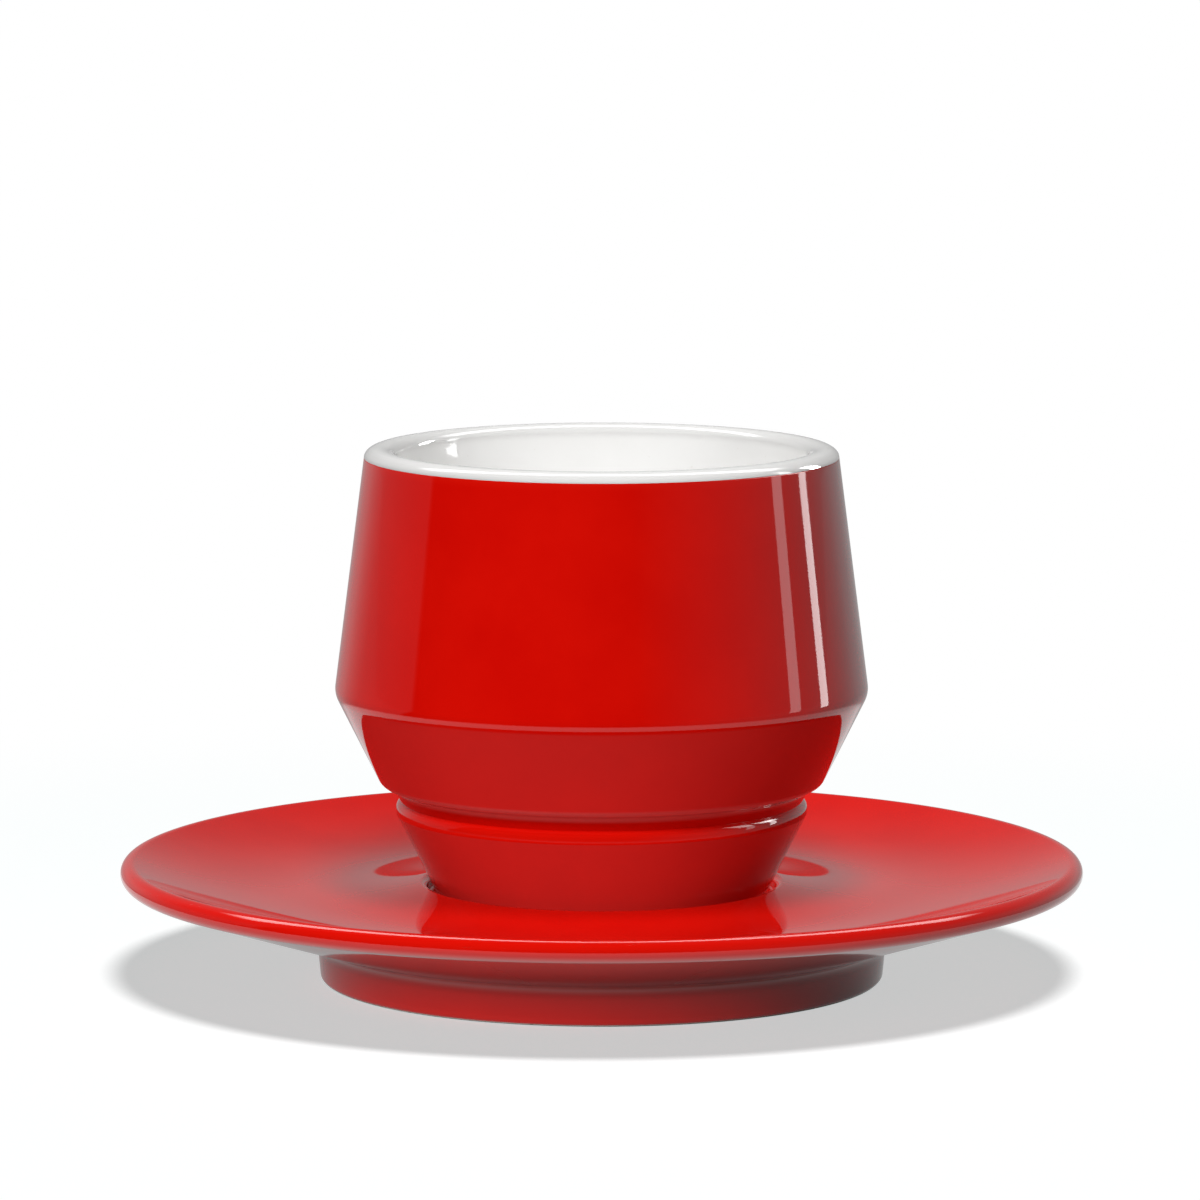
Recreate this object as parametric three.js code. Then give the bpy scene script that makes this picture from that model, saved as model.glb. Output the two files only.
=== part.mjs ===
// A cappuccino cup with its saucer: a porcelain cup with two walls and no handle, in the saucer's well.
// Millimetres, +Z up. The origin is on the table, under the middle of the saucer.
import * as THREE from 'three';

// Saucer
const SAUCER_DIAMETER = 156;
const SAUCER_HEIGHT = 19.4;
const RIM_THICKNESS = 3.6;
const DISH_DEPTH = 5.5; // from the top of the rim to the lowest ring of the dish
const DISH_LOW_RING_DIAMETER = 92.6;
const WELL_DEPTH = 2.4; // from the well's lip to the floor that the cup stands on
const WELL_CLEARANCE = 0.35; // between the cup's foot and the well's lip
const WELL_LIP_ROUNDING = 1.2;
const WELL_FLOOR_ROUNDING = 0.9;
const SAUCER_FLOOR = 4.4; // thickness under the well
const SAUCER_FOOT_DIAMETER = 92.4;
const SAUCER_FOOT_HEIGHT = 6.3;
const SAUCER_FOOT_WIDTH = 4.6; // of the ring, at the table
const SAUCER_FOOT_DRAFT = 0.6; // how far each side of the ring leans in on its way to the table
const SAUCER_FOOT_ROOT_ROUNDING = 3;
const SAUCER_FOOT_EDGE_ROUNDING = 0.9;
const SAUCER_RECESS_ROUNDING = 2.4;

// Cup, with heights counted from the edge that it stands on
const CUP_HEIGHT = 72.95;
const CUP_FOOT_DIAMETER = 53.2;
const CUP_FOOT_WIDTH = 3.6; // of the ring that the cup stands on
const CUP_FOOT_RECESS = 2;
const CUP_FOOT_EDGE_ROUNDING = 0.7;
const SHOULDER_DIAMETER = 86.4;
const SHOULDER_HEIGHT = 33.2;
const SHOULDER_ROUNDING = 4;
const LIP_DIAMETER = 76.6; // across the seam where the red outside meets the white lip
const LIP_RISE = 1.6; // of the lip's crown over that seam
const BEAD_BOTTOM = 13.4; // of the edge where the bead stands out from the foot
const BEAD_EDGE_ROUNDING = 0.35;
const BEAD_FACE = 0.85; // upright part of the bead's side
const BEAD_ROUNDING = 1.5; // from the bead's side over its top
const GROOVE_DEPTH = 0.65; // behind the bead
const GROOVE_WALL_HEIGHT = 2;
const GROOVE_WALL_LEAN = 20; // degrees, outwards on its way up
const GROOVE_FILLET = 2; // hollow rounding between the groove's wall and its ceiling
const GROOVE_CEILING_RISE = 20; // degrees, from the groove's wall out to the body's edge
const GROOVE_EDGE_ROUNDING = 2.2;
const SHELL_WALL = 2.6;
const SHELL_FLOOR = 3;
const SHELL_INNER_ROUNDING = 2;
const VESSEL_WALL = 2.2;
const VESSEL_FLOOR_ROUNDING = 16;
const AIR_GAP = 1.5; // least gap between the two walls, over the groove
const AIR_GAP_FLOOR = 3; // gap between the two floors
const LUTE_GAP = 0.3; // width of the joint between the two walls, under the lip

// Plug in the vent of the air gap
const VENT_DIAMETER = 6;
const PLUG_CLEARANCE = 0.15;
const PLUG_HEAD_OVERLAP = 2.4; // of the head past the vent's edge
const PLUG_HEAD_THICKNESS = 1.2;
const PLUG_BARB_OVERLAP = 0.5;
const PLUG_BARB_THICKNESS = 1.4;

// Facets
const TURN_FACETS = 48;
const PLUG_TURN_FACETS = 24;
const ROUNDING_STEPS = 3;
const LARGE_ROUNDING_STEPS = 6;
const DISH_STEPS = 10;
const RIM_STEPS = 9;
const BEAD_STEPS = 5;
const LIP_STEPS = 8;

const RED_GLAZE = { color: '#cd0f00', roughness: 0.12 };
const WHITE_GLAZE = { color: '#f0efed', roughness: 0.1 };
const PALE_SILICONE = { color: '#d9d6cf', roughness: 0.6 };

// A corner of an outline: its radius from the axis, its height, and how it is rounded
function corner(radius, height, rounding = 0, steps = ROUNDING_STEPS) {
  return { at: new THREE.Vector2(radius, height), rounding, steps };
}

// Corners along an arc, or along an oval with its own rise, angles counted from straight outwards up
function arc(centre, radius, startAngle, endAngle, steps, rise = radius) {
  const corners = [];
  for (let i = 0; i <= steps; i += 1) {
    const angle = THREE.MathUtils.lerp(startAngle, endAngle, i / steps);
    corners.push(corner(centre.x + radius * Math.cos(angle), centre.y + rise * Math.sin(angle)));
  }
  return corners;
}

// The points that round one corner, tangent to both sides and no longer than half of either
function roundedCorner(before, { at, rounding, steps }, after) {
  if (rounding === 0) {
    return [at];
  }
  const back = before.at.clone().sub(at);
  const ahead = after.at.clone().sub(at);
  const halfAngle = Math.acos(back.dot(ahead) / (back.length() * ahead.length())) / 2;
  const reach = Math.min(rounding / Math.tan(halfAngle), back.length() / 2, ahead.length() / 2);
  const radius = reach * Math.tan(halfAngle);
  const inward = back.clone().normalize().add(ahead.clone().normalize()).normalize();
  const centre = at.clone().addScaledVector(inward, radius / Math.sin(halfAngle));
  const start = at.clone().addScaledVector(back.normalize(), reach).sub(centre);
  const end = at.clone().addScaledVector(ahead.normalize(), reach).sub(centre);
  const turn = Math.atan2(start.cross(end), start.dot(end));
  const points = [];
  for (let i = 0; i <= steps; i += 1) {
    points.push(start.clone().rotateAround(new THREE.Vector2(), turn * i / steps).add(centre));
  }
  return points;
}

// A turned solid from an outline that starts and ends on the axis, or closes on itself
function turned(corners, facets, closesOnItself = false) {
  const last = corners.length - 1;
  const points = corners.flatMap((here, i) => {
    const before = corners[i === 0 ? last : i - 1];
    const after = corners[i === last ? 0 : i + 1];
    return roundedCorner(before, here, after);
  });
  if (closesOnItself) {
    points.push(points[0].clone());
  }
  return new THREE.LatheGeometry(points, facets).rotateX(Math.PI / 2);
}

function piece(name, geometry, finish) {
  const mesh = new THREE.Mesh(geometry, new THREE.MeshStandardMaterial(finish));
  mesh.name = name;
  return mesh;
}

// The cone that the cup's foot and the lower part of its body share
const footRadius = CUP_FOOT_DIAMETER / 2;
const shoulderRadius = SHOULDER_DIAMETER / 2;
const coneSlope = (shoulderRadius - footRadius) / SHOULDER_HEIGHT;
const coneStretch = Math.hypot(1, coneSlope);
const coneRadius = (height) => footRadius + coneSlope * height;

// The bead, and the groove over it, whose ceiling climbs out to the body's edge
const beadRadius = coneRadius(BEAD_BOTTOM);
const beadCentre = new THREE.Vector2(beadRadius - BEAD_ROUNDING, BEAD_BOTTOM + BEAD_FACE);
const beadEndAngle = Math.acos(1 - GROOVE_DEPTH / BEAD_ROUNDING);
const grooveRadius = beadRadius - GROOVE_DEPTH;
const grooveWallTop = beadCentre.y + BEAD_ROUNDING * Math.sin(beadEndAngle) + GROOVE_WALL_HEIGHT;
const wallLean = Math.tan(THREE.MathUtils.degToRad(GROOVE_WALL_LEAN));
const wallTopRadius = grooveRadius + GROOVE_WALL_HEIGHT * wallLean;
const ceilingSlope = 1 / Math.tan(THREE.MathUtils.degToRad(GROOVE_CEILING_RISE));
const grooveTop = (footRadius - wallTopRadius + ceilingSlope * grooveWallTop) / (ceilingSlope - coneSlope);

// The ridge that the groove makes on the shell's inside
const ridgeRadius = grooveRadius - SHELL_WALL;
const ridgeTop = grooveTop + SHELL_WALL;

// The lip, half an oval over both walls, and the seam under it
const lipRadius = LIP_DIAMETER / 2;
const lipThickness = SHELL_WALL + LUTE_GAP + VESSEL_WALL;
const seamHeight = CUP_HEIGHT - LIP_RISE;
const shellFloorTop = CUP_FOOT_RECESS + SHELL_FLOOR;

// The saucer's heights, worked down from its rim
const rimRadius = RIM_THICKNESS / 2;
const rimCentre = new THREE.Vector2(SAUCER_DIAMETER / 2 - rimRadius, SAUCER_HEIGHT - rimRadius);
const dishLow = new THREE.Vector2(DISH_LOW_RING_DIAMETER / 2, SAUCER_HEIGHT - DISH_DEPTH);

// The dish is one hollow arc, level at its lowest ring and tangent to the rim
const rimReach = rimCentre.clone().sub(dishLow);
const dishRadius = (rimReach.lengthSq() - rimRadius ** 2) / (2 * (rimRadius + rimReach.y));
const dishCentre = new THREE.Vector2(dishLow.x, dishLow.y + dishRadius);
const wellRadius = coneRadius(WELL_DEPTH) + WELL_CLEARANCE;
const wellLip = dishCentre.y - Math.sqrt(dishRadius ** 2 - (wellRadius - dishCentre.x) ** 2);
const wellFloor = wellLip - WELL_DEPTH;

function makeSaucer() {
  const footRoot = new THREE.Vector2(SAUCER_FOOT_DIAMETER / 2, SAUCER_FOOT_HEIGHT);
  const footOuter = footRoot.x - SAUCER_FOOT_DRAFT;
  const footInner = footOuter - SAUCER_FOOT_WIDTH;
  const recessTop = wellFloor - SAUCER_FLOOR;

  // The underside runs from the foot's root to where it is tangent to the rim
  const toRim = rimCentre.clone().sub(footRoot);
  const undersideAngle = toRim.angle() - Math.asin(rimRadius / toRim.length());
  const rimStartAngle = undersideAngle - Math.PI / 2;
  const toDish = dishCentre.clone().sub(rimCentre);
  const rimEndAngle = toDish.angle();

  const lipAngle = Math.atan2(wellLip - dishCentre.y, wellRadius - dishCentre.x);
  const dishEndAngle = rimEndAngle - Math.PI;
  const dish = arc(dishCentre, dishRadius, dishEndAngle, lipAngle, DISH_STEPS).slice(1, -1);

  const corners = [
    corner(0, recessTop),
    corner(footInner - SAUCER_FOOT_DRAFT, recessTop, SAUCER_RECESS_ROUNDING),
    corner(footInner, 0, SAUCER_FOOT_EDGE_ROUNDING),
    corner(footOuter, 0, SAUCER_FOOT_EDGE_ROUNDING),
    corner(footRoot.x, footRoot.y, SAUCER_FOOT_ROOT_ROUNDING),
    ...arc(rimCentre, rimRadius, rimStartAngle, rimEndAngle, RIM_STEPS),
    ...dish,
    corner(wellRadius, wellLip, WELL_LIP_ROUNDING),
    corner(wellRadius, wellFloor, WELL_FLOOR_ROUNDING),
    corner(0, wellFloor),
  ];
  return piece('saucer', turned(corners, TURN_FACETS), RED_GLAZE);
}

function makeOuterShell() {
  const ventRadius = VENT_DIAMETER / 2;
  const recessRadius = footRadius - CUP_FOOT_WIDTH;
  const upperSlope = (lipRadius - shoulderRadius) / (seamHeight - SHOULDER_HEIGHT);

  // The inside follows the outside at the wall's thickness, with a ridge behind the groove
  const innerCone = (height) => coneRadius(height) - SHELL_WALL * coneStretch;
  const ridgeBottom = BEAD_BOTTOM + (ridgeRadius - innerCone(BEAD_BOTTOM)) / coneSlope;
  const innerUpper = (height) => lipRadius - SHELL_WALL + upperSlope * (height - seamHeight);
  const innerShoulder = (innerUpper(0) - innerCone(0)) / (coneSlope - upperSlope);

  const corners = [
    corner(ventRadius, CUP_FOOT_RECESS),
    corner(recessRadius, CUP_FOOT_RECESS, CUP_FOOT_EDGE_ROUNDING),
    corner(recessRadius, 0, CUP_FOOT_EDGE_ROUNDING),
    corner(footRadius, 0, CUP_FOOT_EDGE_ROUNDING),
    corner(beadRadius, BEAD_BOTTOM, BEAD_EDGE_ROUNDING),
    ...arc(beadCentre, BEAD_ROUNDING, 0, beadEndAngle, BEAD_STEPS),
    corner(wallTopRadius, grooveWallTop, GROOVE_FILLET),
    corner(coneRadius(grooveTop), grooveTop, GROOVE_EDGE_ROUNDING),
    corner(shoulderRadius, SHOULDER_HEIGHT, SHOULDER_ROUNDING),
    corner(lipRadius, seamHeight),
    corner(lipRadius - SHELL_WALL, seamHeight),
    corner(innerUpper(innerShoulder), innerShoulder, SHOULDER_ROUNDING),
    corner(innerCone(ridgeTop), ridgeTop, SHELL_INNER_ROUNDING),
    corner(ridgeRadius, ridgeTop, SHELL_INNER_ROUNDING),
    corner(ridgeRadius, ridgeBottom, SHELL_INNER_ROUNDING),
    corner(innerCone(shellFloorTop), shellFloorTop, SHELL_INNER_ROUNDING),
    corner(ventRadius, shellFloorTop),
  ];
  return piece('cup_outer_shell', turned(corners, TURN_FACETS, true), RED_GLAZE);
}

function makeInnerVessel() {
  const lipCentre = new THREE.Vector2(lipRadius - lipThickness / 2, seamHeight);
  const floorBottom = shellFloorTop + AIR_GAP_FLOOR;
  const floorTop = floorBottom + VESSEL_WALL;

  // The side runs straight from the seam, past the ridge at the air gap, to the floor
  const sideRadius = lipRadius - SHELL_WALL - LUTE_GAP;
  const sideSlope = (sideRadius - ridgeRadius + AIR_GAP) / (seamHeight - ridgeTop);
  const floorRadius = sideRadius - sideSlope * (seamHeight - floorBottom);
  const corners = [
    corner(0, floorBottom),
    corner(floorRadius, floorBottom, VESSEL_FLOOR_ROUNDING, LARGE_ROUNDING_STEPS),
    corner(sideRadius, seamHeight),
    ...arc(lipCentre, lipThickness / 2, 0, Math.PI, LIP_STEPS, LIP_RISE),
    corner(floorRadius - VESSEL_WALL, floorTop, VESSEL_FLOOR_ROUNDING, LARGE_ROUNDING_STEPS),
    corner(0, floorTop),
  ];
  return piece('cup_inner_vessel', turned(corners, TURN_FACETS), WHITE_GLAZE);
}

function makeVentPlug() {
  const ventRadius = VENT_DIAMETER / 2;
  const headRadius = ventRadius + PLUG_HEAD_OVERLAP;
  const stemRadius = ventRadius - PLUG_CLEARANCE;
  const barbRadius = ventRadius + PLUG_BARB_OVERLAP;
  const headBottom = CUP_FOOT_RECESS - PLUG_HEAD_THICKNESS;
  const corners = [
    corner(0, headBottom),
    corner(headRadius, headBottom),
    corner(headRadius, CUP_FOOT_RECESS),
    corner(stemRadius, CUP_FOOT_RECESS),
    corner(stemRadius, shellFloorTop),
    corner(barbRadius, shellFloorTop),
    corner(stemRadius, shellFloorTop + PLUG_BARB_THICKNESS),
    corner(0, shellFloorTop + PLUG_BARB_THICKNESS),
  ];
  return piece('vent_plug', turned(corners, PLUG_TURN_FACETS), PALE_SILICONE);
}

const cup = new THREE.Group();
cup.add(makeOuterShell(), makeInnerVessel(), makeVentPlug());
cup.position.z = wellFloor;

const cupWithSaucer = new THREE.Group();
cupWithSaucer.add(makeSaucer(), cup);

export default cupWithSaucer;
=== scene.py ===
"""A cappuccino cup with its saucer: glazed porcelain, red outside and white inside.

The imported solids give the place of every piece. Here finer bodies are turned from the same outlines and
glazed, and the floor, the lights and the camera are set. Outlines are in millimetres, the scene in metres.
"""

from math import acos, asin, atan2, ceil, cos, hypot, pi, radians, sin, sqrt, tan

import bmesh
import bpy
from mathutils import Matrix, Vector


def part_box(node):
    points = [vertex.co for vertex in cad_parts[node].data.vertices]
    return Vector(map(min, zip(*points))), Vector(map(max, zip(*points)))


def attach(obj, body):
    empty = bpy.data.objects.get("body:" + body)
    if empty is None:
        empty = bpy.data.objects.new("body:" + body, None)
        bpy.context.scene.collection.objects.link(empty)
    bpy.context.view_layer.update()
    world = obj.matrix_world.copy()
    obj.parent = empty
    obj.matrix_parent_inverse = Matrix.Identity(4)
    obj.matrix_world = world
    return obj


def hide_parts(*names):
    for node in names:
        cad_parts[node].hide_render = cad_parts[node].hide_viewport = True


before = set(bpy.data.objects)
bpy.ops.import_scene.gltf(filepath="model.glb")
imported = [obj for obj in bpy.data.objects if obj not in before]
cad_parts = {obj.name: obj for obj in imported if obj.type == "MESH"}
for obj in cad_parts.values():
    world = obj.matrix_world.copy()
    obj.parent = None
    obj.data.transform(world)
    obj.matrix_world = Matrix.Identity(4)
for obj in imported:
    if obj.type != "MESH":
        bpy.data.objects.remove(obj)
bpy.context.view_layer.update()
MM = 0.001

# Saucer, in millimetres
SAUCER_RADIUS = 78.0
SAUCER_HEIGHT = 19.4
RIM_RADIUS = 1.8
DISH_DEPTH = 5.5
DISH_LOW_RING = 46.3
WELL_DEPTH = 2.4
WELL_CLEARANCE = 0.35
WELL_LIP_ROUNDING = 1.2
WELL_FLOOR_ROUNDING = 0.9
SAUCER_FLOOR = 4.4
SAUCER_FOOT_RADIUS = 46.2
SAUCER_FOOT_HEIGHT = 6.3
SAUCER_FOOT_WIDTH = 4.6
SAUCER_FOOT_DRAFT = 0.6
SAUCER_FOOT_ROOT_ROUNDING = 3.0
SAUCER_FOOT_EDGE_ROUNDING = 0.9
SAUCER_RECESS_ROUNDING = 2.4

# Cup, in millimetres, with heights counted from the edge that it stands on
CUP_HEIGHT = 72.95
CUP_FOOT_RADIUS = 26.6
CUP_FOOT_WIDTH = 3.6
CUP_FOOT_RECESS = 2.0
CUP_FOOT_EDGE_ROUNDING = 0.7
SHOULDER_RADIUS = 43.2
SHOULDER_HEIGHT = 33.2
SHOULDER_ROUNDING = 4.0
LIP_RADIUS = 38.3
LIP_RISE = 1.6
BEAD_BOTTOM = 13.4
BEAD_EDGE_ROUNDING = 0.35
BEAD_FACE = 0.85
BEAD_ROUNDING = 1.5
GROOVE_DEPTH = 0.65
GROOVE_WALL_HEIGHT = 2.0
GROOVE_WALL_LEAN = radians(20)
GROOVE_FILLET = 2.0
GROOVE_CEILING_RISE = radians(20)
GROOVE_EDGE_ROUNDING = 2.2
SHELL_WALL = 2.6
SHELL_FLOOR = 3.0
SHELL_INNER_ROUNDING = 2.0
VESSEL_WALL = 2.2
VESSEL_FLOOR_ROUNDING = 16.0
AIR_GAP = 1.5
AIR_GAP_FLOOR = 3.0
LUTE_GAP = 0.3
SEAM_ROUNDING = 0.25

# Plug in the vent under the cup, in millimetres
VENT_RADIUS = 3.0
PLUG_CLEARANCE = 0.15
PLUG_HEAD_OVERLAP = 2.4
PLUG_HEAD_THICKNESS = 1.2
PLUG_HEAD_ROUNDING = 0.45
PLUG_BARB_OVERLAP = 0.5
PLUG_BARB_THICKNESS = 1.4
PLUG_EDGE_ROUNDING = 0.2

# Fineness of the turned bodies
ARC_STEP = radians(4)
LONGEST_RUN = 1.6
BODY_FACETS = 288
PLUG_FACETS = 96
SHARP_EDGE = radians(35)

# Glaze, in millimetres: how far from an edge or a hollow it thins or pools, and how high it is wiped off
GLAZE_FLOW = 0.9
BARE_RING_HEIGHT = 0.3


class Wire:
    """A socket of a node tree. Sums on it add Math nodes, and node() adds any other node."""

    def __init__(self, tree, socket=None):
        self.tree = tree
        self.socket = socket

    def node(self, kind, settings=None, inputs=None, output=0):
        """Adds a node, sets it, fills or links its sockets, and gives one of its outputs."""
        node = self.tree.nodes.new(kind)
        for name, value in (settings or {}).items():
            if name == "stops":
                self.set_stops(node.color_ramp.elements, value)
            else:
                setattr(node, name, value)
        for name, value in (inputs or {}).items():
            if isinstance(value, Wire):
                self.tree.links.new(value.socket, node.inputs[name])
            else:
                node.inputs[name].default_value = value
        return Wire(self.tree, node.outputs[output]) if node.outputs else None

    @staticmethod
    def set_stops(elements, stops):
        while len(elements) < len(stops):
            elements.new(1.0)
        for element, (position, shade) in zip(elements, stops):
            element.position = position
            element.color = (shade, shade, shade, 1.0)

    def also(self, output):
        """Another output of the same node."""
        return Wire(self.tree, self.socket.node.outputs[output])

    def math(self, operation, first, second=0.0):
        return self.node("ShaderNodeMath", {"operation": operation}, {0: first, 1: second})

    def __add__(self, other):
        return self.math("ADD", self, other)

    def __sub__(self, other):
        return self.math("SUBTRACT", self, other)

    def __rsub__(self, other):
        return self.math("SUBTRACT", other, self)

    def __mul__(self, other):
        return self.math("MULTIPLY", self, other)

    def __truediv__(self, other):
        return self.math("DIVIDE", self, other)

    def __rtruediv__(self, other):
        return self.math("DIVIDE", other, self)

    __radd__ = __add__
    __rmul__ = __mul__

    def ramp(self, low, high):
        """0 below low, 1 above high, and smooth between them."""
        inputs = {"Value": self, "From Min": low, "From Max": high}
        return self.node("ShaderNodeMapRange", {"interpolation_type": "SMOOTHSTEP"}, inputs)

    def mix(self, low_colour, high_colour):
        """A colour between two others, by this value."""
        inputs = {0: self, 6: low_colour, 7: high_colour}
        return self.node("ShaderNodeMix", {"data_type": "RGBA"}, inputs, output=2)

    def noise(self, place, scale, detail=2.0, roughness=0.5):
        inputs = {"Vector": place, "Scale": scale, "Detail": detail, "Roughness": roughness}
        return self.node("ShaderNodeTexNoise", {}, inputs)

    def attribute(self, name):
        """A value that the mesh carries at its points."""
        return self.node("ShaderNodeAttribute", {"attribute_name": name}, output="Fac")

    def bump(self):
        """The normal that this height, in metres, gives the surface."""
        return self.node("ShaderNodeBump", {}, {"Distance": 1.0, "Height": self}, output="Normal")


# Outlines

def corner(radius, height, rounding=0.0):
    return Vector((radius, height)), rounding


def arc(centre, radius, start, end, rise=None):
    """Corners along an arc, or an oval with its own rise, angles counted from straight outwards up."""
    rise = rise or radius
    sweep = abs(end - start)
    steps = max(2, ceil(sweep / ARC_STEP), ceil(sweep * radius / LONGEST_RUN))
    angles = [start + (end - start) * i / steps for i in range(steps + 1)]
    return [corner(centre.x + radius * cos(a), centre.y + rise * sin(a)) for a in angles]


def rounded_corner(before, at, after, rounding):
    """The points that round one corner, tangent to both sides and no longer than half of either."""
    back = before - at
    ahead = after - at
    half = back.angle(ahead) / 2
    reach = min(rounding / tan(half), back.length / 2, ahead.length / 2)
    radius = reach * tan(half)
    inward = (back.normalized() + ahead.normalized()).normalized()
    centre = at + inward * (radius / sin(half))
    start = at + back.normalized() * reach - centre
    end = at + ahead.normalized() * reach - centre
    turn = atan2(start.cross(end), start.dot(end))
    steps = max(2, ceil(abs(turn) / ARC_STEP))
    return [centre + Matrix.Rotation(turn * i / steps, 2) @ start for i in range(steps + 1)]


def outline(corners, closed=False):
    """The points of an outline, with its corners rounded and its long straight runs split."""
    points = []
    for i, (at, rounding) in enumerate(corners):
        if rounding:
            before = corners[i - 1][0]
            after = corners[(i + 1) % len(corners)][0]
            points += rounded_corner(before, at, after, rounding)
        else:
            points.append(at)
    split = []
    ends = points[1:] + points[:1] if closed else points[1:]
    for start, end in zip(points, ends):
        runs = ceil((end - start).length / LONGEST_RUN)
        split += [start.lerp(end, i / runs) for i in range(runs)]
    return split if closed else split + points[-1:]


# The cone that the cup's foot and the lower part of its body share
CONE_SLOPE = (SHOULDER_RADIUS - CUP_FOOT_RADIUS) / SHOULDER_HEIGHT
CONE_STRETCH = hypot(1, CONE_SLOPE)


def cone_radius(height):
    return CUP_FOOT_RADIUS + CONE_SLOPE * height


# The bead, the groove over it, whose ceiling climbs out to the body's edge, and the groove's ridge inside
BEAD_RADIUS = cone_radius(BEAD_BOTTOM)
BEAD_CENTRE = Vector((BEAD_RADIUS - BEAD_ROUNDING, BEAD_BOTTOM + BEAD_FACE))
BEAD_END = acos(1 - GROOVE_DEPTH / BEAD_ROUNDING)
GROOVE_RADIUS = BEAD_RADIUS - GROOVE_DEPTH
GROOVE_WALL_TOP = BEAD_CENTRE.y + BEAD_ROUNDING * sin(BEAD_END) + GROOVE_WALL_HEIGHT
WALL_TOP_RADIUS = GROOVE_RADIUS + GROOVE_WALL_HEIGHT * tan(GROOVE_WALL_LEAN)
CEILING_SLOPE = 1 / tan(GROOVE_CEILING_RISE)
GROOVE_TOP = CUP_FOOT_RADIUS - WALL_TOP_RADIUS + CEILING_SLOPE * GROOVE_WALL_TOP
GROOVE_TOP /= CEILING_SLOPE - CONE_SLOPE
RIDGE_RADIUS = GROOVE_RADIUS - SHELL_WALL
RIDGE_TOP = GROOVE_TOP + SHELL_WALL

# The lip, half an oval over both walls, and the seam under it
LIP_THICKNESS = SHELL_WALL + LUTE_GAP + VESSEL_WALL
SEAM_HEIGHT = CUP_HEIGHT - LIP_RISE
SHELL_FLOOR_TOP = CUP_FOOT_RECESS + SHELL_FLOOR

# The saucer's dish, one hollow arc that is level at its lowest ring and tangent to the rim
RIM_CENTRE = Vector((SAUCER_RADIUS - RIM_RADIUS, SAUCER_HEIGHT - RIM_RADIUS))
DISH_LOW = Vector((DISH_LOW_RING, SAUCER_HEIGHT - DISH_DEPTH))
RIM_REACH = RIM_CENTRE - DISH_LOW
DISH_RADIUS = (RIM_REACH.length_squared - RIM_RADIUS ** 2) / (2 * (RIM_RADIUS + RIM_REACH.y))
DISH_CENTRE = DISH_LOW + Vector((0, DISH_RADIUS))
WELL_RADIUS = cone_radius(WELL_DEPTH) + WELL_CLEARANCE
CUP_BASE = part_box("cup_outer_shell")[0].z / MM


def saucer_outline():
    foot_root = Vector((SAUCER_FOOT_RADIUS, SAUCER_FOOT_HEIGHT))
    foot_outer = foot_root.x - SAUCER_FOOT_DRAFT
    foot_inner = foot_outer - SAUCER_FOOT_WIDTH
    recess_top = CUP_BASE - SAUCER_FLOOR

    # The underside is tangent to the rim, and the rim to the dish
    to_rim = RIM_CENTRE - foot_root
    underside = atan2(to_rim.y, to_rim.x) - asin(RIM_RADIUS / to_rim.length)
    to_dish = DISH_CENTRE - RIM_CENTRE
    rim_end = atan2(to_dish.y, to_dish.x)

    # The well's lip rounds from the dish over to the well's wall
    lip_reach = WELL_RADIUS + WELL_LIP_ROUNDING - DISH_CENTRE.x
    lip_drop = sqrt((DISH_RADIUS + WELL_LIP_ROUNDING) ** 2 - lip_reach ** 2)
    lip_centre = DISH_CENTRE + Vector((lip_reach, -lip_drop))
    lip_start = atan2(lip_drop, -lip_reach)

    corners = [
        corner(0, recess_top),
        corner(foot_inner - SAUCER_FOOT_DRAFT, recess_top, SAUCER_RECESS_ROUNDING),
        corner(foot_inner, 0, SAUCER_FOOT_EDGE_ROUNDING),
        corner(foot_outer, 0, SAUCER_FOOT_EDGE_ROUNDING),
        corner(foot_root.x, foot_root.y, SAUCER_FOOT_ROOT_ROUNDING),
        *arc(RIM_CENTRE, RIM_RADIUS, underside - pi / 2, rim_end),
        *arc(DISH_CENTRE, DISH_RADIUS, rim_end - pi, lip_start - pi)[1:-1],
        *arc(lip_centre, WELL_LIP_ROUNDING, lip_start, pi),
        corner(WELL_RADIUS, CUP_BASE, WELL_FLOOR_ROUNDING),
        corner(0, CUP_BASE),
    ]
    return outline(corners)


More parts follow.
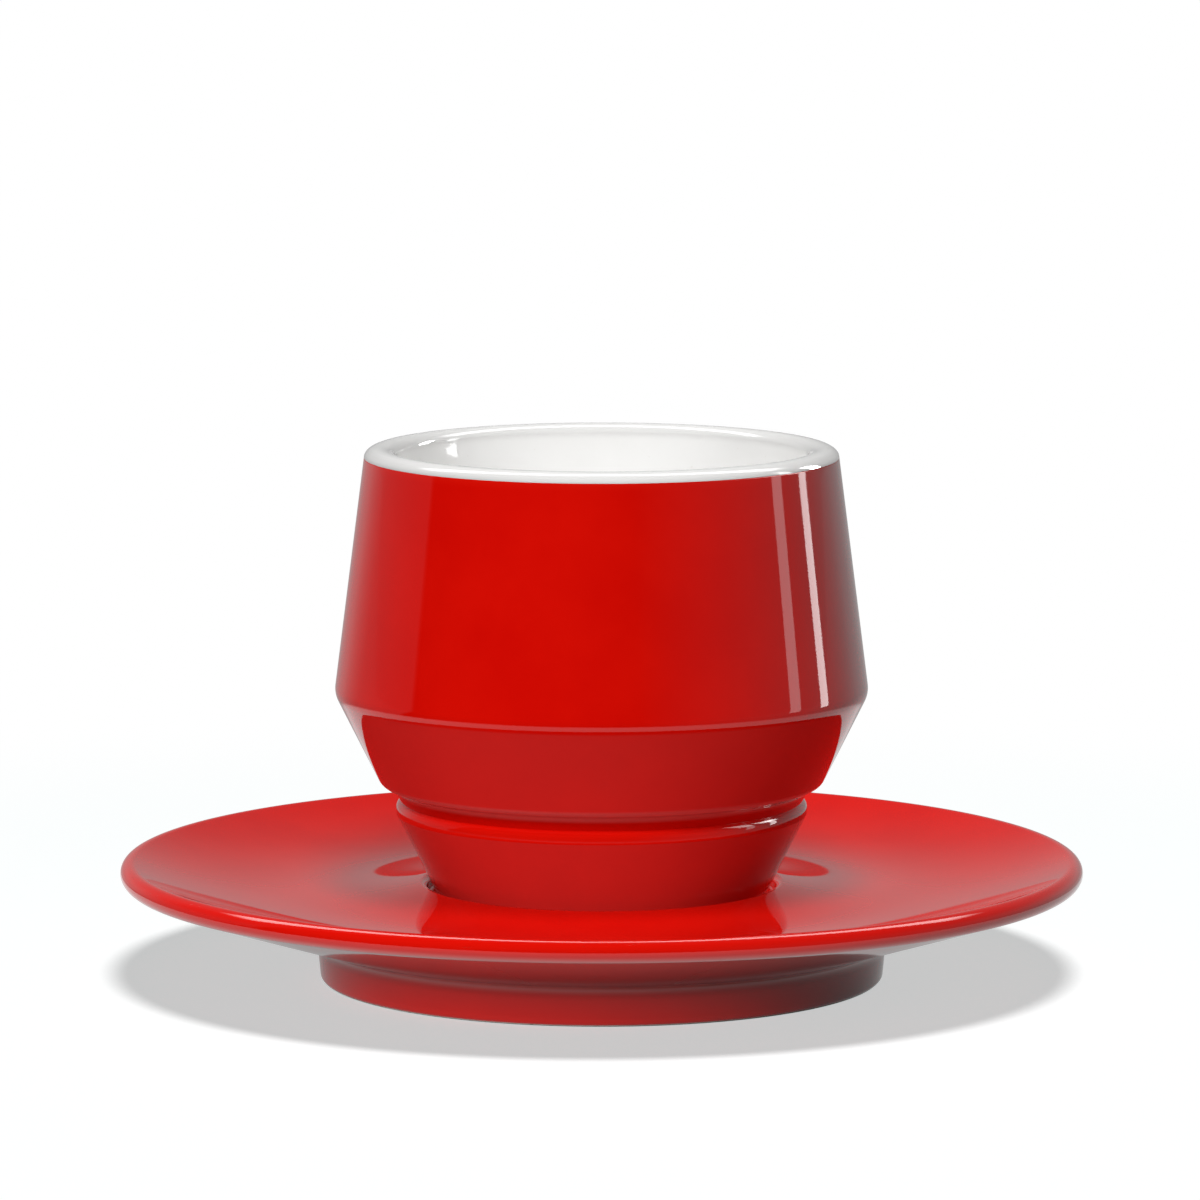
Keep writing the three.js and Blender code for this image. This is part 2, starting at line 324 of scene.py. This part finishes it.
def shell_outline():
    recess_radius = CUP_FOOT_RADIUS - CUP_FOOT_WIDTH
    upper_slope = (LIP_RADIUS - SHOULDER_RADIUS) / (SEAM_HEIGHT - SHOULDER_HEIGHT)

    def inner_cone(height):
        return cone_radius(height) - SHELL_WALL * CONE_STRETCH

    def inner_upper(height):
        return LIP_RADIUS - SHELL_WALL + upper_slope * (height - SEAM_HEIGHT)

    ridge_bottom = BEAD_BOTTOM + (RIDGE_RADIUS - inner_cone(BEAD_BOTTOM)) / CONE_SLOPE
    inner_shoulder = (inner_upper(0) - inner_cone(0)) / (CONE_SLOPE - upper_slope)
    corners = [
        corner(VENT_RADIUS, CUP_FOOT_RECESS),
        corner(recess_radius, CUP_FOOT_RECESS, CUP_FOOT_EDGE_ROUNDING),
        corner(recess_radius, 0, CUP_FOOT_EDGE_ROUNDING),
        corner(CUP_FOOT_RADIUS, 0, CUP_FOOT_EDGE_ROUNDING),
        corner(BEAD_RADIUS, BEAD_BOTTOM, BEAD_EDGE_ROUNDING),
        *arc(BEAD_CENTRE, BEAD_ROUNDING, 0, BEAD_END),
        corner(WALL_TOP_RADIUS, GROOVE_WALL_TOP, GROOVE_FILLET),
        corner(cone_radius(GROOVE_TOP), GROOVE_TOP, GROOVE_EDGE_ROUNDING),
        corner(SHOULDER_RADIUS, SHOULDER_HEIGHT, SHOULDER_ROUNDING),
        corner(LIP_RADIUS, SEAM_HEIGHT, SEAM_ROUNDING),
        corner(LIP_RADIUS - SHELL_WALL, SEAM_HEIGHT),
        corner(inner_upper(inner_shoulder), inner_shoulder, SHOULDER_ROUNDING),
        corner(inner_cone(RIDGE_TOP), RIDGE_TOP, SHELL_INNER_ROUNDING),
        corner(RIDGE_RADIUS, RIDGE_TOP, SHELL_INNER_ROUNDING),
        corner(RIDGE_RADIUS, ridge_bottom, SHELL_INNER_ROUNDING),
        corner(inner_cone(SHELL_FLOOR_TOP), SHELL_FLOOR_TOP, SHELL_INNER_ROUNDING),
        corner(VENT_RADIUS, SHELL_FLOOR_TOP),
    ]
    return outline(corners, closed=True)


def vessel_outline():
    lip_radius = LIP_THICKNESS / 2
    lip_centre = Vector((LIP_RADIUS - lip_radius, SEAM_HEIGHT))
    floor_bottom = SHELL_FLOOR_TOP + AIR_GAP_FLOOR
    side_radius = LIP_RADIUS - SHELL_WALL - LUTE_GAP
    side_slope = (side_radius - RIDGE_RADIUS + AIR_GAP) / (SEAM_HEIGHT - RIDGE_TOP)
    floor_radius = side_radius - side_slope * (SEAM_HEIGHT - floor_bottom)
    corners = [
        corner(0, floor_bottom),
        corner(floor_radius, floor_bottom, VESSEL_FLOOR_ROUNDING),
        corner(side_radius, SEAM_HEIGHT),
        *arc(lip_centre, lip_radius, 0, pi, LIP_RISE),
        corner(floor_radius - VESSEL_WALL, floor_bottom + VESSEL_WALL, VESSEL_FLOOR_ROUNDING),
        corner(0, floor_bottom + VESSEL_WALL),
    ]
    return outline(corners)


def plug_outline():
    head_radius = VENT_RADIUS + PLUG_HEAD_OVERLAP
    stem_radius = VENT_RADIUS - PLUG_CLEARANCE
    barb_radius = VENT_RADIUS + PLUG_BARB_OVERLAP
    barb_top = SHELL_FLOOR_TOP + PLUG_BARB_THICKNESS
    head_bottom = CUP_FOOT_RECESS - PLUG_HEAD_THICKNESS
    corners = [
        corner(0, head_bottom),
        corner(head_radius, head_bottom, PLUG_HEAD_ROUNDING),
        corner(head_radius, CUP_FOOT_RECESS, PLUG_EDGE_ROUNDING),
        corner(stem_radius, CUP_FOOT_RECESS),
        corner(stem_radius, SHELL_FLOOR_TOP),
        corner(barb_radius, SHELL_FLOOR_TOP, PLUG_EDGE_ROUNDING),
        corner(stem_radius, barb_top, PLUG_EDGE_ROUNDING),
        corner(0, barb_top),
    ]
    return outline(corners)


# Turned bodies

def glaze_thickness(points, closed):
    """Above 0 at the points where a hollow pools the glaze, below 0 at an edge, where the red thins and
    the white is painted darker as shade.
    """
    count = len(points)
    bends = []
    for i, at in enumerate(points):
        if not closed and i in (0, count - 1):
            bends.append(0.0)
            continue
        arriving = at - points[i - 1]
        leaving = points[(i + 1) % count] - at
        bends.append(-atan2(arriving.cross(leaving), arriving.dot(leaving)))
    thickness = []
    for at in points:
        near = [bend for bend, other in zip(bends, points) if (other - at).length < GLAZE_FLOW]
        thickness.append(max(-1.0, min(1.0, sum(near))))
    return thickness


def facing_down(points):
    """1 at the points whose surface looks straight down, 0 where it looks sideways or up."""
    shares = []
    for i in range(len(points)):
        along = points[min(i + 1, len(points) - 1)] - points[max(i - 1, 0)]
        shares.append(max(0.0, along.normalized().x))
    return shares


def turning_tree():
    """Sweeps an outline, drawn flat with its height downwards along Y, round the Z axis."""
    tree = bpy.data.node_groups.new("turned body", "GeometryNodeTree")
    tree.interface.new_socket("Outline", in_out="INPUT", socket_type="NodeSocketGeometry")
    tree.interface.new_socket("Facets", in_out="INPUT", socket_type="NodeSocketInt")
    tree.interface.new_socket("Path Radius", in_out="INPUT", socket_type="NodeSocketFloat")
    tree.interface.new_socket("Finish", in_out="INPUT", socket_type="NodeSocketMaterial")
    tree.interface.new_socket("Body", in_out="OUTPUT", socket_type="NodeSocketGeometry")
    start = Wire(tree)
    given = start.node("NodeGroupInput", output="Outline")
    radius = given.also("Path Radius")
    inward = start.node("ShaderNodeCombineXYZ", {}, {"X": 0 - radius})
    profile = start.node("GeometryNodeTransform", {}, {"Geometry": given, "Translation": inward})
    profile = start.node("GeometryNodeMeshToCurve", {}, {"Mesh": profile})
    ring = {"Resolution": given.also("Facets"), "Radius": radius}
    path = start.node("GeometryNodeCurvePrimitiveCircle", {"mode": "RADIUS"}, ring)
    body = start.node("GeometryNodeCurveToMesh", {}, {"Curve": path, "Profile Curve": profile})
    body = start.node("GeometryNodeMergeByDistance", {}, {"Geometry": body, "Distance": 1e-6})
    body = start.node("GeometryNodeSetShadeSmooth", {}, {"Geometry": body, "Shade Smooth": True})
    body = start.node("GeometryNodeRealizeInstances", {}, {"Geometry": body})
    body = start.node("GeometryNodeSetMaterial", {}, {"Geometry": body, "Material": given.also("Finish")})
    start.node("NodeGroupOutput", {}, {"Body": body})
    return tree


TURNING = turning_tree()


def turned(name, points, base, facets, finish, closed=False, bare_below=None):
    """A body turned from an outline that starts and ends on the axis, or closes on itself."""
    count = len(points)
    drawing = bpy.data.meshes.new(name + "_outline")
    places = [(at.x * MM, -(at.y + base) * MM, 0) for at in points]
    lines = [(i, i + 1) for i in range(count - 1)]
    if closed:
        lines.append((count - 1, 0))
    drawing.from_pydata(places, lines, [])
    layers = {
        "glaze": glaze_thickness(points, closed),
        "underneath": facing_down(points),
        "bare": [bare_below is not None and at.y < bare_below for at in points],
    }
    for layer, values in layers.items():
        drawing.attributes.new(layer, "FLOAT", "POINT").data.foreach_set("value", values)

    sketch = bpy.data.objects.new(name + "_outline", drawing)
    bpy.context.scene.collection.objects.link(sketch)
    modifier = sketch.modifiers.new("turned", "NODES")
    modifier.node_group = TURNING
    sockets = TURNING.interface.items_tree
    modifier[sockets["Facets"].identifier] = facets
    modifier[sockets["Path Radius"].identifier] = SAUCER_RADIUS * MM
    modifier[sockets["Finish"].identifier] = finish
    shape = bpy.data.meshes.new_from_object(sketch.evaluated_get(bpy.context.evaluated_depsgraph_get()))
    bpy.data.objects.remove(sketch)

    faces = bmesh.new()
    faces.from_mesh(shape)
    bmesh.ops.recalc_face_normals(faces, faces=faces.faces)
    faces.to_mesh(shape)
    faces.free()
    shape.set_sharp_from_angle(angle=SHARP_EDGE)
    body = bpy.data.objects.new(name, shape)
    bpy.context.scene.collection.objects.link(body)
    return body


# Finishes

GLAZE_IOR = 1.5

# Colours between which each finish wanders, what edges, hollows and specks change them to, and the painted
# shade on what looks down and on the white lip
RED_SHADES = (0.600, 0.0030, 0.0008, 1), (0.640, 0.0042, 0.0012, 1)
RED_ON_EDGES = (0.635, 0.0050, 0.0018, 1)
RED_IN_HOLLOWS = (0.560, 0.0024, 0.0006, 1)
# Painted shade: the paler, greyer red that what looks down is mixed towards
RED_PAINTED_SHADE_UNDERNEATH = (0.80, 0.19, 0.18, 1)
BOUNCED_GREY = (0.12, 0.12, 0.12, 1)
BOUNCED_SHARE = 0.45
CLAY_SHADES = (0.70, 0.67, 0.61, 1), (0.78, 0.76, 0.71, 1)
CLAY_SPECK = (0.52, 0.47, 0.41, 1)
WHITE_SHADES = (0.790, 0.785, 0.773, 1), (0.812, 0.808, 0.797, 1)
# Painted shade: the darker white that the lip and other thin edges are mixed towards
WHITE_PAINTED_SHADE_ON_EDGES = (0.640, 0.634, 0.625, 1)
WHITE_SPECK = (0.55, 0.50, 0.43, 1)
WHITE_SPECK_SHARE = 0.25
SILICONE_SHADES = (0.66, 0.64, 0.59, 1), (0.72, 0.70, 0.66, 1)

# Heights of the surfaces' unevenness, in metres
RED_RIPPLE = 2e-6
WHITE_RIPPLE = 4e-6
GLAZE_PITTING = 1.2e-7
CLAY_GRAIN = 2e-5
SILICONE_GRAIN = 4e-6

# From where to where a point counts as on an edge, in a hollow or looking down
THINNED = (0.25, 1.0)
POOLED = (0.2, 1.0)
LOOKING_DOWN = (0.32, 1.0)


def new_finish(name):
    """An empty material, its first wire and the surface's own coordinates."""
    finish = bpy.data.materials.new(name)
    finish.use_nodes = True
    finish.node_tree.nodes.clear()
    start = Wire(finish.node_tree)
    return finish, start, start.node("ShaderNodeTexCoord", output="Object")


def glaze_bump(start, place, ripple):
    """The slow ripple that a glaze sets with, and its fine orange peel."""
    height = start.noise(place, 70.0, 1.0) * ripple + start.noise(place, 650.0, 2.0) * GLAZE_PITTING
    return height.bump()


def red_glaze():
    finish, start, place = new_finish("red_glaze")
    glaze = start.attribute("glaze")
    bare = start.attribute("bare")
    underneath = start.attribute("underneath")
    mottle = start.noise(place, 55.0, 4.0, 0.6)
    red = mottle.ramp(0.3, 0.7).mix(*RED_SHADES)
    red = (glaze * -1).ramp(*THINNED).mix(red, RED_ON_EDGES)
    red = glaze.ramp(*POOLED).mix(red, RED_IN_HOLLOWS)

    # Painted shade: what looks down is mixed towards a paler, greyer red, the way it looks in shade
    red = underneath.ramp(*LOOKING_DOWN).mix(red, RED_PAINTED_SHADE_UNDERNEATH)

    # Less red is thrown onto the pieces next to it than it shows by itself
    bounced = start.node("ShaderNodeLightPath", output="Is Diffuse Ray")
    red = (bounced * BOUNCED_SHARE).mix(red, BOUNCED_GREY)
    smears = start.noise(place, 28.0, 3.0).ramp(0.45, 0.75)
    glossy = {
        "Base Color": red,
        "Roughness": smears * 0.025 + 0.035,
        "IOR": GLAZE_IOR,
        "Normal": glaze_bump(start, place, RED_RIPPLE),
    }
    glossy = start.node("ShaderNodeBsdfPrincipled", {}, glossy)

    # Where the piece stands in the kiln it is wiped free of glaze
    grain = start.noise(place, 2600.0, 3.0, 0.7)
    speckle = start.noise(place, 900.0, 2.0).ramp(0.62, 0.7)
    clay = grain.ramp(0.3, 0.7).mix(*CLAY_SHADES)
    clay = speckle.mix(clay, CLAY_SPECK)
    dull = {
        "Base Color": clay,
        "Roughness": grain * 0.2 + 0.7,
        "Normal": (grain * CLAY_GRAIN).bump(),
    }
    dull = start.node("ShaderNodeBsdfPrincipled", {}, dull)
    wandering = bare + (start.noise(place, 300.0, 2.0) - 0.5) * 0.6
    surface = start.node("ShaderNodeMixShader", {}, {0: wandering.ramp(0.4, 0.6), 1: glossy, 2: dull})
    start.node("ShaderNodeOutputMaterial", {}, {"Surface": surface})
    return finish


def white_glaze():
    finish, start, place = new_finish("white_glaze")
    cloud = start.noise(place, 45.0, 3.0, 0.55)
    white = cloud.ramp(0.3, 0.7).mix(*WHITE_SHADES)
    glaze = start.attribute("glaze")
    # Painted shade: the lip and other thin edges are darker than the glaze inside the cup
    white = (glaze * -1).ramp(*THINNED).mix(white, WHITE_PAINTED_SHADE_ON_EDGES)
    specks = start.noise(place, 1500.0, 1.0).ramp(0.76, 0.80)
    white = (specks * WHITE_SPECK_SHARE).mix(white, WHITE_SPECK)
    smears = start.noise(place, 30.0, 3.0).ramp(0.45, 0.75)
    glossy = {
        "Base Color": white,
        "Roughness": smears * 0.03 + 0.04,
        "IOR": GLAZE_IOR,
        "Normal": glaze_bump(start, place, WHITE_RIPPLE),
    }
    surface = start.node("ShaderNodeBsdfPrincipled", {}, glossy)
    start.node("ShaderNodeOutputMaterial", {}, {"Surface": surface})
    return finish


def pale_silicone():
    finish, start, place = new_finish("pale_silicone")
    dust = start.noise(place, 800.0, 4.0, 0.6)
    pale = dust.ramp(0.35, 0.7).mix(*SILICONE_SHADES)
    grain = start.noise(place, 5000.0, 2.0)
    matt = {
        "Base Color": pale,
        "Roughness": dust * 0.15 + 0.45,
        "Normal": (grain * SILICONE_GRAIN).bump(),
    }
    surface = start.node("ShaderNodeBsdfPrincipled", {}, matt)
    start.node("ShaderNodeOutputMaterial", {}, {"Surface": surface})
    return finish


# Floor, lights and camera

# The camera's place in metres, its tilt down in radians and its lens in millimetres
CAMERA_PLACE = Vector((-0.00026, -1.2, 0.22))
CAMERA_PITCH = 0.1313
CAMERA_LENS = 224.76

# The point that the lights face, how far off they are, and how the strips lean
AIM = Vector((0, 0, 0.045))
LIGHT_DISTANCE = 6.0
STRIP_DISTANCE = 0.7
STRIP_LEAN = radians(-12)

# The floor's size, and its colours: left in full shadow, added by the light, thrown back at the pieces
FLOOR_SIZE = 12.0
FLOOR_SHADOW = (0.53, 0.556, 0.556, 1)
FLOOR_COLOUR = (0.70, 0.70, 0.70, 1)
FLOOR_BOUNCE = (0.5, 0.5, 0.5, 1)

# Metres from the axis between which the floor turns plain, and its pool in the glaze fades or brightens
SHADOW_REACH = (0.16, 0.30)
POOL_REACH = (0.21, 0.16)
POOL_SHADE = (0.048, 0.095)

# The pool's glow next to the foot, kept low there as painted shade under the saucer, and what it gains
# further out
POOL_GLOW = 0.4
POOL_GAIN = 0.55

# The room's glow in the glaze by degrees, counted from the camera's side towards the right
ROOM_SIDES = [
    (-180, 0.40), (-145, 0.45), (-126, 0.24), (-90, 0.19), (-88, 0.0),
    (15, 0.0), (60, 0.17), (140, 0.55), (180, 0.40),
]
# The same by degrees above the horizon
ROOM_RISE = [(0, 0.87), (8, 0.90), (24, 0.50), (45, 0.31), (90, 0.25)]

# The panel overhead: its glow, and where its front, back and low edges fade along a direction's Y and Z
PANEL_GLOW = 5.0
PANEL_FRONT = (0.28, 0.34)
PANEL_BACK = (0.64, 0.56)
PANEL_LOW = (0.6, 0.7)

# Only what is mirrored once shows the panel, not a mirror in a mirror
FIRST_MIRRORING = (1.6, 1.4)


def side_glow(x, y):
    """The room's brightness towards one side, given as a place or a direction."""
    around = x.math("ARCTAN2", x, y * -1) / (2 * pi) + 0.5
    stops = [(azimuth / 360 + 0.5, glow) for azimuth, glow in ROOM_SIDES]
    return x.node("ShaderNodeValToRGB", {"stops": stops}, {"Fac": around})


def white_floor():
    """Pale around the object, where its shadow falls, and plain white further out."""
    finish, start, place = new_finish("white_floor")
    path = start.node("ShaderNodeLightPath", output="Is Camera Ray")
    distance = start.node("ShaderNodeVectorMath", {"operation": "LENGTH"}, {0: place}, output="Value")
    bounced = start.node("ShaderNodeBsdfDiffuse", {}, {"Color": FLOOR_BOUNCE})

    lit = start.node("ShaderNodeBsdfDiffuse", {}, {"Color": FLOOR_COLOUR})
    shadow = start.node("ShaderNodeEmission", {}, {"Color": FLOOR_SHADOW})
    shaded = start.node("ShaderNodeAddShader", {}, {0: lit, 1: shadow})
    plain = start.node("ShaderNodeEmission", {}, {"Strength": 1.0})
    seen = start.node("ShaderNodeMixShader", {}, {0: distance.ramp(*SHADOW_REACH), 1: shaded, 2: plain})

    # In the glaze the floor is a painted glow: a bright pool round the object, dimmer next to the foot,
    # that fades into the room
    x = start.node("ShaderNodeSeparateXYZ", {}, {"Vector": place}, output="X")
    pool = distance.ramp(*POOL_REACH)
    near = distance.ramp(*POOL_SHADE) * POOL_GAIN + POOL_GLOW
    glow = pool * near + (1 - pool) * side_glow(x, x.also("Y"))
    mirrored = start.node("ShaderNodeEmission", {}, {"Strength": glow})
    surface = start.node("ShaderNodeMixShader", {}, {0: path, 1: bounced, 2: seen})
    in_glaze = path.also("Is Glossy Ray")
    surface = start.node("ShaderNodeMixShader", {}, {0: in_glaze, 1: surface, 2: mirrored})
    start.node("ShaderNodeOutputMaterial", {}, {"Surface": surface})

    half = FLOOR_SIZE / 2
    sheet = bpy.data.meshes.new("floor")
    corners = [(-half, -half, 0), (half, -half, 0), (half, half, 0), (-half, half, 0)]
    sheet.from_pydata(corners, [], [(0, 1, 2, 3)])
    sheet.materials.append(finish)
    floor = bpy.data.objects.new("floor", sheet)
    bpy.context.scene.collection.objects.link(floor)
    return floor


def direction(azimuth, elevation):
    """A direction from the object, azimuth counted from the camera's side towards the right."""
    flat = cos(radians(elevation))
    return Vector((flat * sin(radians(azimuth)), -flat * cos(radians(azimuth)), sin(radians(elevation))))


def area_light(name, azimuth, elevation, distance, receivers, lean=0):
    """A lamp that faces the object, out of the camera's sight, and lights only its receivers."""
    source = bpy.data.objects.new(name, bpy.data.lights.new(name, "AREA"))
    towards = direction(azimuth, elevation)
    facing = towards.to_track_quat("Z", "Y").to_matrix().to_4x4()
    place = Matrix.Translation(AIM + towards * distance)
    source.matrix_world = place @ facing @ Matrix.Rotation(lean, 4, "Z")
    source.visible_camera = False
    source.light_linking.receiver_collection = receivers
    bpy.context.scene.collection.objects.link(source)
    return source


def strip_light(name, azimuth, elevation, size, radiance, lean, receivers):
    """A tall panel that shows in the glaze and adds no other light."""
    panel = area_light(name, azimuth, elevation, STRIP_DISTANCE, receivers, lean)
    panel.data.shape = "RECTANGLE"
    panel.data.size, panel.data.size_y = size
    panel.data.energy = pi * size[0] * size[1] * radiance
    panel.visible_diffuse = False


def soft_light(name, azimuth, elevation, strength, spread, receivers, blockers=None):
    """A round light far off, out of sight in the glaze too, as wide as its spread in degrees.

    At strength 1 a surface that faces it renders in its own colour. Where blockers are given, only they
    cast a shadow in its light.
    """
    half = radians(spread / 2)
    source = area_light(name, azimuth, elevation, LIGHT_DISTANCE, receivers)
    source.data.shape = "DISK"
    source.data.size = 2 * LIGHT_DISTANCE * tan(half)
    source.data.energy = strength * (pi * LIGHT_DISTANCE / cos(half)) ** 2
    source.visible_glossy = False
    source.light_linking.blocker_collection = blockers


def studio_world():
    """White to the camera, and a dim room in the glaze that is dark behind the camera."""
    world = bpy.data.worlds.new("studio")
    world.use_nodes = True
    world.node_tree.nodes.clear()
    bpy.context.scene.world = world
    start = Wire(world.node_tree)
    looking = start.node("ShaderNodeTexCoord", output="Generated")
    x = start.node("ShaderNodeSeparateXYZ", {}, {"Vector": looking}, output="X")
    height = start.math("MAXIMUM", x.also("Z"), 0.0)
    rise = start.math("ARCSINE", height) / (pi / 2)
    stops = [(elevation / 90, glow) for elevation, glow in ROOM_RISE]
    room = start.node("ShaderNodeValToRGB", {"stops": stops}, {"Fac": rise}) * side_glow(x, x.also("Y"))

    # A panel hangs behind the object, just short of overhead, and draws the light line on its edges
    behind = x.also("Y")
    panel = behind.ramp(*PANEL_FRONT) * behind.ramp(*PANEL_BACK) * height.ramp(*PANEL_LOW)
    path = start.node("ShaderNodeLightPath", output="Is Camera Ray")
    mirrored_once = path.also("Glossy Depth").ramp(*FIRST_MIRRORING)
    room = room + panel * mirrored_once * PANEL_GLOW
    seen = path + path.also("Is Transmission Ray")
    strength = seen + path.also("Is Glossy Ray") * room
    surface = start.node("ShaderNodeBackground", {}, {"Color": (1, 1, 1, 1), "Strength": strength})
    start.node("ShaderNodeOutputWorld", {}, {"Surface": surface})


def photo_camera():
    camera = bpy.data.cameras.new("camera")
    camera.sensor_width = 36.0
    camera.lens = CAMERA_LENS
    camera.clip_end = 50.0
    seat = bpy.data.objects.new("camera", camera)
    seat.location = CAMERA_PLACE
    seat.rotation_euler = (pi / 2 - CAMERA_PITCH, 0, 0)
    bpy.context.scene.collection.objects.link(seat)
    bpy.context.scene.camera = seat


def group(name, *members):
    """A collection outside the scene, for lights that reach or are blocked by only some objects."""
    collection = bpy.data.collections.new(name)
    for member in members:
        collection.objects.link(member)
    return collection


def place_piece(piece, node, body):
    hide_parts(node)
    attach(piece, body)


photo_camera()
studio_world()
floor = white_floor()

red = red_glaze()
saucer = turned("saucer_body", saucer_outline(), 0, BODY_FACETS, red, bare_below=BARE_RING_HEIGHT)
place_piece(saucer, "saucer", "saucer")
shell = turned("cup_shell_body", shell_outline(), CUP_BASE, BODY_FACETS, red,
               closed=True, bare_below=BARE_RING_HEIGHT)
place_piece(shell, "cup_outer_shell", "cup")
vessel = turned("cup_vessel_body", vessel_outline(), CUP_BASE, BODY_FACETS, white_glaze())
place_piece(vessel, "cup_inner_vessel", "cup")
plug = turned("vent_plug_body", plug_outline(), CUP_BASE, PLUG_FACETS, pale_silicone())
place_piece(plug, "vent_plug", "cup")

# What single lights reach, or are blocked by
saucer_alone = group("saucer_alone", saucer)
saucer_blocks = group("saucer_blocks", saucer)
shell_alone = group("shell_alone", shell)
vessel_alone = group("vessel_alone", vessel)
red_pieces = group("red_pieces", saucer, shell)
floor_vessel_plug = group("floor_vessel_plug", floor, vessel, plug)

# Azimuth, elevation, strength and spread of each light, what it reaches, and what alone blocks it
soft_light("overhead_key", 13, 69, 0.70, 15, floor_vessel_plug)
soft_light("saucer_key", 6, 69, 0.57, 15, saucer_alone)
soft_light("back_light", 180, 65, 0.28, 30, red_pieces, saucer_blocks)
soft_light("left_back_light", -140, 22, 0.32, 25, red_pieces, saucer_blocks)
soft_light("shell_light", -20, 40, 0.71, 16, shell_alone)
soft_light("shell_front_light", -20, 20, 0.30, 16, shell_alone)
soft_light("saucer_front_light", -28, 18, 0.72, 16, saucer_alone, saucer_blocks)
soft_light("vessel_front_light", -29, 17, 0.59, 16, vessel_alone)
soft_light("vessel_back_light", 180, 65, 0.18, 30, vessel_alone)
soft_light("vessel_left_back_light", -140, 22, 0.32, 25, vessel_alone)
soft_light("vessel_right_light", 60, 35, 0.21, 40, vessel_alone)

# Azimuth, elevation, width and height, radiance and lean of each panel, and what shows it
strip_light("right_strip", 92.0, 14, (0.078, 0.66), 2.0, STRIP_LEAN, shell_alone)
strip_light("right_back_strip", 111.8, 14, (0.070, 0.66), 5.9, STRIP_LEAN, shell_alone)
strip_light("right_window", 90, 38, (0.14, 0.50), 4.0, 0, shell_alone)
strip_light("right_back_window", 113, 38, (0.20, 0.50), 7.0, 0, shell_alone)
strip_light("inside_strip", 97, 9, (0.10, 0.45), 8.0, 0, vessel_alone)
strip_light("inside_back_strip", 123, 9, (0.13, 0.45), 30.0, 0, vessel_alone)

bpy.context.scene.view_settings.view_transform = "Standard"
bpy.context.view_layer.update()
